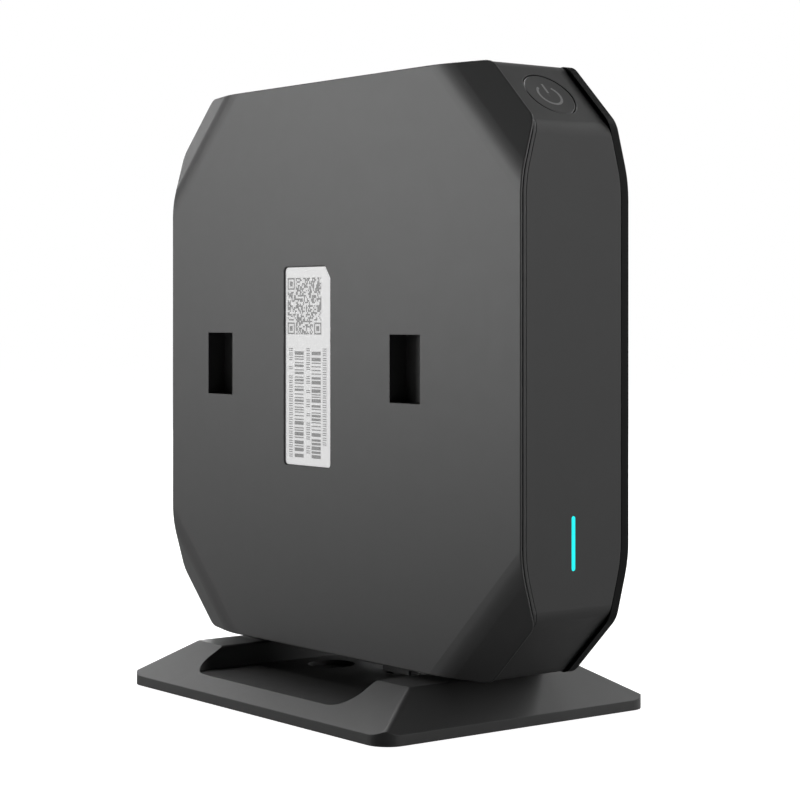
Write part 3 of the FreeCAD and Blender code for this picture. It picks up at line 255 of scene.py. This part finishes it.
def make_materials():
    """A finished material for each material slot of the record, and one for each ink."""
    return {
        "cover_plastic": moulded("cover_plastic", grey(0.045), 0.42, wear=0.5),
        "frame_plastic": moulded("frame_plastic", grey(0.035), 0.5, wear=0.4),
        "front_plastic": moulded("front_plastic", grey(0.008), 0.45, grain=0.35 * MM, wear=0.3,
                                 Specular_IOR_Level=0.1),
        "stand_plastic": moulded("stand_plastic", grey(0.045), 0.45, wear=0.5),
        # The label paper's last value is a painted glow: light given off though the paper is no lamp.
        "label_paper": coated_paper("label_paper", grey(0.82), 0.4),
        "light_guide_plastic": lit_guide("light_guide_plastic", (0.0, 0.02, 0.02), (0.0, 0.97, 0.97), 1.0),
        "foam": rubber("foam", grey(0.03)),
        "led": lit_guide("led", (0.2, 0.5, 0.5), (0.1, 0.95, 1.0), 2.0),
        "circuit_board": solder_mask("circuit_board", (0.01, 0.09, 0.035), (0.03, 0.2, 0.08)),
        "screw_steel": metal("screw_steel", (0.5, 0.5, 0.52), 0.35),
        "chip": moulded("chip", grey(0.02), 0.6, grain=0.1 * MM),
        "thermal_rubber": rubber("thermal_rubber", (0.3, 0.36, 0.45), 0.3 * MM, 0.01 * MM),
        "aluminium": metal("aluminium", (0.72, 0.73, 0.75), 0.4, (1.0, 8.0, 1.0)),
        "tinplate": metal("tinplate", (0.65, 0.65, 0.66), 0.25, (10.0, 1.0, 1.0)),
        "jack_plastic": moulded("jack_plastic", grey(0.02), 0.5, wear=0.4),
        "gold": metal("gold", (0.9, 0.65, 0.25), 0.2),
        "ferrite": moulded("ferrite", (0.06, 0.06, 0.065), 0.7, grain=0.15 * MM, depth=0.01 * MM),
        "capacitor_can": metal("capacitor_can", (0.7, 0.7, 0.72), 0.25),
        "antenna_board": solder_mask("antenna_board", (0.01, 0.06, 0.035), (0.6, 0.4, 0.15)),
        "lead_jacket": moulded("lead_jacket", (0.25, 0.25, 0.26), 0.45, grain=0.3 * MM),
        "plunger_plastic": moulded("plunger_plastic", (0.5, 0.5, 0.47), 0.5),
        "foot_rubber": rubber("foot_rubber", grey(0.025), 0.4 * MM, 0.02 * MM),
        "label_ink": printed_ink("label_ink", grey(0.66)),
        "button_ink": printed_ink("button_ink", grey(0.2)),
    }


NODE_SLOTS = {
    "rear_cover": "cover_plastic",
    "middle_frame": "frame_plastic",
    "button_cap": "frame_plastic",
    "front_cover": "front_plastic",
    "stand_base": "stand_plastic",
    "stand_floor": "stand_plastic",
    "stand_feet": "foot_rubber",
    "stand_screws": "screw_steel",
    "board_screws": "screw_steel",
    "device_label": "label_paper",
    "light_guide": "light_guide_plastic",
    "light_gasket": "foam",
    "status_leds": "led",
    "main_board": "circuit_board",
    "processor_chip": "chip",
    "memory_chips": "chip",
    "wifi_radio_chip": "chip",
    "link_radio_chip": "chip",
    "button_switch": "chip",
    "reset_switch": "chip",
    "thermal_pad": "thermal_rubber",
    "heat_sink": "aluminium",
    "wifi_shield_can": "tinplate",
    "link_shield_can": "tinplate",
    "power_jack": "tinplate",
    "switch_bracket": "tinplate",
    "network_jack": "jack_plastic",
    "power_tongue": "jack_plastic",
    "jack_contacts": "gold",
    "antenna_sockets": "gold",
    "network_transformer": "ferrite",
    "power_coils": "ferrite",
    "capacitors": "capacitor_can",
    "wifi_antenna": "antenna_board",
    "link_antenna": "antenna_board",
    "wifi_antenna_lead": "lead_jacket",
    "link_antenna_lead": "lead_jacket",
    "switch_plunger": "plunger_plastic",
    "reset_plunger": "plunger_plastic",
}


def dress_frame(materials):
    """Puts a finished material on each CAD node."""
    for name, node in frame["nodes"].items():
        for material_slot in node.material_slots:
            material_slot.material = materials[NODE_SLOTS[name]]


# ---------------------------------------------------------------- printed pieces

INK_THICKNESS = 0.012 * MM
INK_SINK = 0.02 * MM

# The square code, and the corner marks in it.
CODE_MODULES = 33
FINDER_MODULES = 7

# The label's layout, from its lower left corner.
CODE_LEFT, CODE_BOTTOM, CODE_SIDE = 0.85 * MM, 32.5 * MM, 14.1 * MM
COLUMNS_BOTTOM, COLUMNS_TOP = 1.9 * MM, 29.5 * MM
BAR_CODES_LEFT, BAR_CODE_WIDTH = (3.8 * MM, 10.9 * MM), 3.8 * MM
LINES_LEFT, LINE_WIDTH = (1.4 * MM, 8.7 * MM, 15.5 * MM), 1.6 * MM

# The seeds of the label's random patterns.
CODE_SEED, BAR_CODE_SEED, LINE_SEED = 7, 11, 21

# The power symbol on the round button: an open ring, and a bar from near its middle.
RING_RADIUS = 3.1 * MM
RING_GAP = math.radians(38)
RING_STEPS = 40
SYMBOL_STROKE = 0.62 * MM
BAR_BOTTOM, BAR_LENGTH = 0.7 * MM, 3.1 * MM
BAR_STEPS = 8


def new_piece(name, mesh_data, material, body):
    """Makes a finished mesh a piece that rides on a body."""
    mesh = bpy.data.meshes.new(name)
    mesh_data.to_mesh(mesh)
    mesh_data.free()
    mesh.materials.append(material)
    piece = bpy.data.objects.new(name, mesh)
    bpy.context.scene.collection.objects.link(piece)
    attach(piece, body)


def add_print(mesh_data, x0, x1, z0, z1, surface):
    """One closed block of ink on a surface that faces -Y."""
    back = surface + INK_SINK
    front = surface - INK_THICKNESS
    corners = [(x, y, z) for y in (back, front) for x, z in ((x0, z0), (x1, z0), (x1, z1), (x0, z1))]
    verts = [mesh_data.verts.new(corner) for corner in corners]
    for face in ((0, 1, 2, 3), (7, 6, 5, 4), (0, 4, 5, 1), (1, 5, 6, 2), (2, 6, 7, 3), (3, 7, 4, 0)):
        mesh_data.faces.new([verts[i] for i in face])


def finder_module(row, column):
    """Whether a module is dark in one of the square code's three corner marks, or None outside them."""
    last = CODE_MODULES - FINDER_MODULES
    for top, left in ((0, 0), (0, last), (last, 0)):
        r, c = row - top, column - left
        if -1 <= r <= FINDER_MODULES and -1 <= c <= FINDER_MODULES:
            ring = min(r, c, FINDER_MODULES - 1 - r, FINDER_MODULES - 1 - c)
            return ring == 0 or ring >= 2
    return None


def square_code(mesh_data, x, z, side, surface):
    """A square of random modules that encodes nothing, with plain corner marks."""
    chooser = random.Random(CODE_SEED)
    module = side / CODE_MODULES
    for row in range(CODE_MODULES):
        for column in range(CODE_MODULES):
            dark = finder_module(row, column)
            if dark is None:
                dark = chooser.random() < 0.5
            if dark:
                x0 = x + column * module
                z0 = z + row * module
                add_print(mesh_data, x0, x0 + module, z0, z0 + module, surface)


def bar_code(mesh_data, x0, x1, z0, z1, surface, seed):
    """A stack of random bars that encodes nothing."""
    chooser = random.Random(seed)
    unit = 0.3 * MM
    z = z0
    while z < z1 - 3 * unit:
        bar = unit * chooser.choice((1, 1, 2, 3))
        add_print(mesh_data, x0, x1, z, min(z + bar, z1), surface)
        z += bar + unit * chooser.choice((1, 1, 2))


def greeked_line(mesh_data, x0, x1, z0, z1, surface, seed):
    """A line of paired strokes in place of text, reading upwards."""
    chooser = random.Random(seed)
    letter = 1.15 * MM
    stroke = 0.25 * MM
    strokes_apart = 0.5 * MM
    z = z0
    while z < z1 - letter:
        if chooser.random() < 0.85:
            for step in (0.0, strokes_apart):
                add_print(mesh_data, x0, x1, z + step, z + step + stroke, surface)
        z += letter


def make_label_print(material):
    """The label's square code, two bar codes and three lines."""
    low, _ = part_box("device_label")
    mesh_data = bmesh.new()
    left, bottom, surface = low.x, low.z, low.y
    square_code(mesh_data, left + CODE_LEFT, bottom + CODE_BOTTOM, CODE_SIDE, surface)
    z0, z1 = bottom + COLUMNS_BOTTOM, bottom + COLUMNS_TOP
    for column, places, width, first_seed in (
        (bar_code, BAR_CODES_LEFT, BAR_CODE_WIDTH, BAR_CODE_SEED),
        (greeked_line, LINES_LEFT, LINE_WIDTH, LINE_SEED),
    ):
        for number, x in enumerate(places):
            column(mesh_data, left + x, left + x + width, z0, z1, surface, first_seed + number)
    new_piece("label_print", mesh_data, material, "unit")


def button_face():
    """The middle of the round cap's rim, and the directions out of it, up it and across it."""
    cap = frame["nodes"]["button_cap"]
    press = next(joint for joint in frame["joints"] if joint["name"] == "power_button_press")
    out = -Vector(press["axis"]).normalized()
    across = Vector((0, 1, 0))
    up = out.cross(across).normalized()
    if up.z < 0:
        up = -up
    rim_depth = 0.3 * MM
    reach = max(v.co.dot(out) for v in cap.data.vertices)
    rim = [v.co for v in cap.data.vertices if v.co.dot(out) > reach - rim_depth]
    middle = sum(rim, Vector()) / len(rim)
    middle += out * (reach - middle.dot(out))
    return middle, out, up, across


def on_cap(point, out, lift):
    """A point moved along the cap's axis until it lies on the cap."""
    cap = frame["nodes"]["button_cap"]
    start_height = 5 * MM
    hit, place, _, _ = cap.ray_cast(point + out * start_height, -out)
    if not hit:
        raise ValueError("the symbol reaches past the cap")
    return place + out * lift


def ribbon(mesh_data, rows, out):
    """A thin closed band over the cap, from rows of (inner point, outer point)."""
    layers = []
    for lift in (-INK_SINK, INK_THICKNESS):
        layers.append([[mesh_data.verts.new(on_cap(p, out, lift)) for p in row] for row in rows])
    low, high = layers
    for i in range(len(rows) - 1):
        mesh_data.faces.new((high[i][0], high[i][1], high[i + 1][1], high[i + 1][0]))
        mesh_data.faces.new((low[i + 1][0], low[i + 1][1], low[i][1], low[i][0]))
        mesh_data.faces.new((low[i][0], high[i][0], high[i + 1][0], low[i + 1][0]))
        mesh_data.faces.new((low[i + 1][1], high[i + 1][1], high[i][1], low[i][1]))
    mesh_data.faces.new((low[0][0], low[0][1], high[0][1], high[0][0]))
    mesh_data.faces.new((high[-1][0], high[-1][1], low[-1][1], low[-1][0]))


def make_power_symbol(material):
    """A plain power symbol on the round button."""
    middle, out, up, across = button_face()
    half = SYMBOL_STROKE / 2
    mesh_data = bmesh.new()
    ring = []
    for i in range(RING_STEPS + 1):
        angle = RING_GAP + (2 * math.pi - 2 * RING_GAP) * i / RING_STEPS
        spoke = up * math.cos(angle) + across * math.sin(angle)
        ring.append([middle + spoke * r for r in (RING_RADIUS - half, RING_RADIUS + half)])
    ribbon(mesh_data, ring, out)
    bar = []
    for i in range(BAR_STEPS + 1):
        height = BAR_BOTTOM + BAR_LENGTH * i / BAR_STEPS
        bar.append([middle + up * height + across * side for side in (-half, half)])
    ribbon(mesh_data, bar, out)
    bmesh.ops.recalc_face_normals(mesh_data, faces=mesh_data.faces[:])
    new_piece("power_symbol", mesh_data, material, "power_button")


# ---------------------------------------------------------------- studio

FLOOR_RADIUS = 6.0
FLOOR_GAP = 0.01 * MM


def make_floor():
    """A wide, plain floor under the feet, as pale as the backdrop to the camera and darker as a reflector."""
    mesh_data = bmesh.new()
    bmesh.ops.create_circle(mesh_data, cap_ends=True, radius=FLOOR_RADIUS, segments=96)
    mesh = bpy.data.meshes.new("floor")
    mesh_data.to_mesh(mesh)
    mesh_data.free()
    shader = Shader("floor_paint", grey(0.3), 0.9)
    shader.set("Emission Color", (1.0, 1.0, 1.0, 1.0))
    shader.drive("Emission Strength", shader.add("ShaderNodeLightPath").outputs["Is Camera Ray"])
    shader.mottle(size=0.2, spread=0.01, roughness_spread=0.02)
    mesh.materials.append(shader.material)
    floor = bpy.data.objects.new("floor", mesh)
    floor.location.z = cad_box[0].z - FLOOR_GAP
    bpy.context.scene.collection.objects.link(floor)


def softbox(name, azimuth, elevation, distance, width, height, radiance, aim=0.076, spread=180):
    """A lamp that faces a point above the origin.

    Azimuth 0 stands it on the -Y side, and 90 on the +X side. Aim is the height of the point it faces.
    """
    lamp = bpy.data.lights.new(name, "AREA")
    lamp.shape = "RECTANGLE"
    lamp.size, lamp.size_y = width, height
    lamp.energy = radiance * math.pi * width * height
    lamp.spread = math.radians(spread)
    target = Vector((0, 0, aim))
    a, e = math.radians(azimuth), math.radians(elevation)
    back = Vector((math.sin(a) * math.cos(e), -math.cos(a) * math.cos(e), math.sin(e)))
    stand = bpy.data.objects.new(name, lamp)
    stand.location = target + back * distance
    stand.rotation_euler = back.to_track_quat("Z", "Y").to_euler()
    stand.visible_camera = False
    bpy.context.scene.collection.objects.link(stand)


def make_lights():
    """Soft lamps round the object, and two wide, narrow-beamed ones that light its upper part the most."""
    for name, azimuth, elevation, radiance in (
        ("key_lamp", -42, 3, 4.84),
        ("left_lamp", -62, 3, 0.7),
        ("left_high_lamp", -85, 30, 0.81),
        ("left_rear_lamp", -110, 3, 6.07),
        ("left_top_lamp", -110, 58, 12.7),
        ("right_rear_lamp", 115, 3, 3.54),
        ("right_high_lamp", 115, 30, 2.26),
        ("rear_lamp", 170, 30, 3.4),
        ("rear_fill_lamp", 178, 4, 4.0),
    ):
        softbox(name, azimuth, elevation, distance=1.2, width=0.55, height=0.6, radiance=radiance)
    for name, azimuth, radiance in (
        ("left_band_lamp", -50, 0.172),
        ("front_band_lamp", -15, 0.261),
    ):
        band = {"distance": 1.0, "width": 1.4, "height": 0.08, "aim": 0.20, "spread": 20}
        softbox(name, azimuth, elevation=8, radiance=radiance, **band)


def make_world():
    """A white backdrop that only the camera sees, so that the lamps alone light the object."""
    world = bpy.data.worlds.new("studio")
    bpy.context.scene.world = world
    world.use_nodes = True
    background = world.node_tree.nodes["Background"]
    background.inputs["Color"].default_value = (1.0, 1.0, 1.0, 1.0)
    path = world.node_tree.nodes.new("ShaderNodeLightPath")
    world.node_tree.links.new(path.outputs["Is Camera Ray"], background.inputs["Strength"])


def make_camera():
    """The photograph's view: level, low and from the right, with the lens shifted to frame the object."""
    camera = bpy.data.cameras.new("camera")
    camera.sensor_width = 36.0
    camera.lens = 95.812
    camera.shift_x = 0.1
    camera.shift_y = -0.1056
    camera.clip_start, camera.clip_end = 0.01, 50.0
    stand = bpy.data.objects.new("camera", camera)
    stand.location = Vector((416.0, -328.4, 94.8)) * MM
    stand.rotation_euler = (math.pi / 2, 0.0, math.radians(53.347))
    bpy.context.scene.collection.objects.link(stand)
    bpy.context.scene.camera = stand


bpy.context.scene.view_settings.view_transform = "Standard"
materials = make_materials()
dress_frame(materials)
make_label_print(materials["label_ink"])
make_power_symbol(materials["button_ink"])
make_floor()
make_lights()
make_world()
make_camera()
